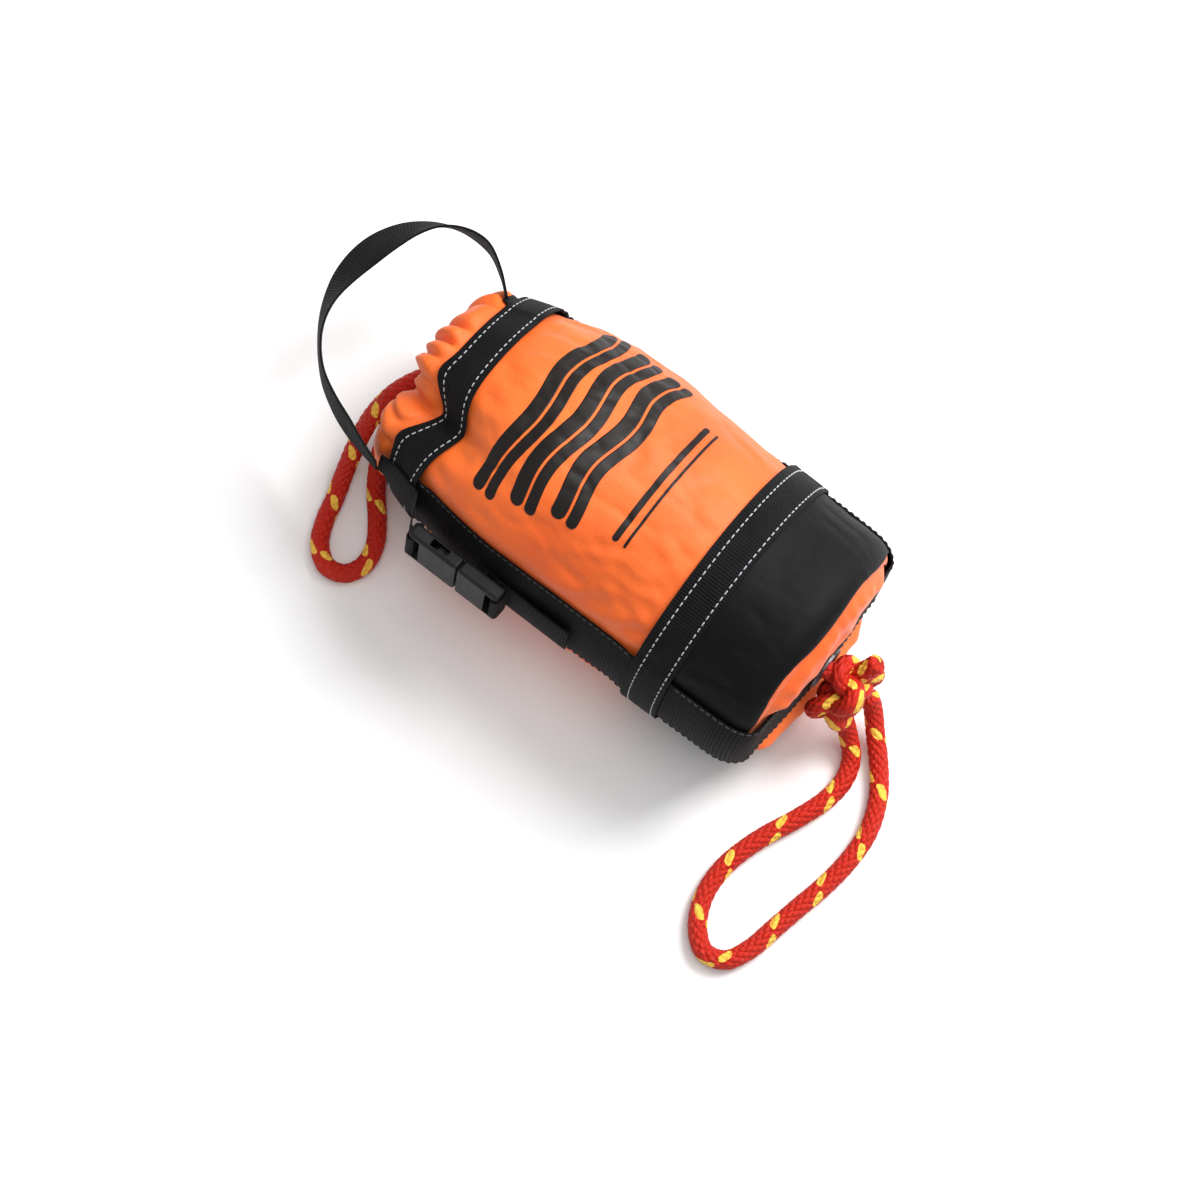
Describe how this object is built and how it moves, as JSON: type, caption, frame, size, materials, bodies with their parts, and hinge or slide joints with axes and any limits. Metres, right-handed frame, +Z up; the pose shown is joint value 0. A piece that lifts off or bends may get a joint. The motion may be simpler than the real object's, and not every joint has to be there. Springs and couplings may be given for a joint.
{
  "type": "throw rope bag",
  "caption": "Cylindrical nylon rescue throw bag lying on its side, with webbing bands, carry strap, side-release buckle, floating rope, end loops and a drawcord mouth.",
  "frame": {"origin": "centre of the flattened underside that the bag rests on", "axes": "+X along the bag from mouth to base, +Z up as it lies, -Y the side with the buckle"},
  "size_m": [0.3657, 0.2038, 0.1236],
  "materials": {
    "nylon_orange": "coated nylon weave",
    "nylon_black": "coated nylon weave",
    "webbing_black": "ribbed webbing with pale stitches",
    "rope_red": "braided rope with yellow tracers",
    "cord_black": "braided cord",
    "acetal_black": "moulded acetal",
    "foam_white": "closed-cell foam",
    "grommet_metal": "plated"
  },
  "bodies": {
    "bag": {"bag_body": "nylon_orange", "mouth_hem": "nylon_orange", "mouth_band": "webbing_black", "base_sleeve": "nylon_black", "base_tape": "webbing_black", "base_disc": "nylon_orange", "side_strap": "webbing_black", "base_grommet": "grommet_metal", "grommet_washer": "grommet_metal", "float_foam": "foam_white", "rope_pack": "rope_red", "stopper_knot": "rope_red", "mouth_knot": "rope_red", "base_lead": "rope_red", "base_knot": "rope_red", "base_loop": "rope_red", "knot_tail": "rope_red", "mouth_loop": "rope_red", "drawcord": "cord_black", "drawcord_end_knot": "cord_black", "strap_root_far": "webbing_black", "strap_riser_near": "webbing_black", "plug_tab": "webbing_black", "buckle_socket": "acetal_black"},
    "strap": {"carry_strap": "webbing_black"},
    "plug": {"buckle_plug": "acetal_black"},
    "arm_upper": {"buckle_arm_upper": "acetal_black"},
    "arm_lower": {"buckle_arm_lower": "acetal_black"},
    "lock": {"cord_lock_body": "acetal_black", "cord_lock_spring": "grommet_metal"},
    "plunger": {"cord_lock_plunger": "acetal_black"}
  },
  "joints": [
    {"name": "carry_strap_swing", "type": "hinge", "parent": "bag", "child": "strap", "pos_m": [-0.1095, 0, 0.0768], "axis": [0, 0.9944, 0.1055], "range_deg": [0, 75]},
    {"name": "buckle_plug_slide", "type": "slide", "parent": "bag", "child": "plug", "axis": [1, 0, 0], "range_m": [0, 0.02]},
    {"name": "arm_upper_press", "type": "hinge", "parent": "plug", "child": "arm_upper", "pos_m": [-0.04685, -0.07011, 0.07709], "axis": [0, -0.9848, 0.1736], "range_deg": [0, 8], "stiffness_Nm_per_rad": 0.05},
    {"name": "arm_lower_press", "type": "hinge", "parent": "plug", "child": "arm_lower", "pos_m": [-0.04685, -0.07288, 0.06133], "axis": [0, -0.9848, 0.1736], "range_deg": [-8, 0], "stiffness_Nm_per_rad": 0.05},
    {"name": "cord_lock_slide", "type": "slide", "parent": "bag", "child": "lock", "axis": [0, 0, 1], "range_m": [0, 0.008]},
    {"name": "cord_lock_press", "type": "slide", "parent": "lock", "child": "plunger", "axis": [0, -1, 0], "range_m": [0, 0.0025], "stiffness_N_per_m": 300, "springref_m": -0.002}
  ]
}
